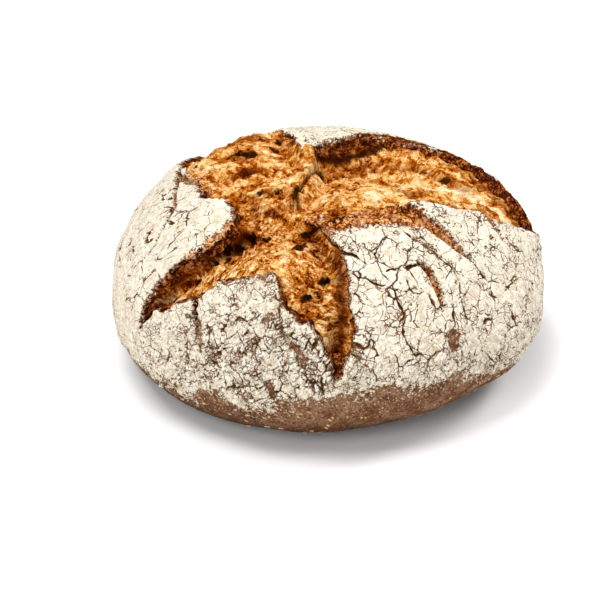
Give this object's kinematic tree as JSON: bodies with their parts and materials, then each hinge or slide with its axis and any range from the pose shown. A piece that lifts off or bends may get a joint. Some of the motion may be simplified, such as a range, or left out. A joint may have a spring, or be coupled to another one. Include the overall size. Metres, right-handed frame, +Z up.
{
  "type": "spelt bread loaf",
  "caption": "Round rustic spelt loaf, a domed boule with a cracked floured crust torn open into a star of golden crumb over a bare brown base.",
  "frame": {"origin": "middle of the flat foot, on the surface that the loaf rests on", "axes": "+Z up through the crown, +X to the right of the torn front, -Y out of the front"},
  "size_m": [0.22, 0.214, 0.107],
  "materials": {
    "floured_crust": "matte",
    "torn_crumb": "matte",
    "bran_flakes": "matte"
  },
  "bodies": {
    "root": {"loaf": "floured_crust"}
  },
  "joints": []
}
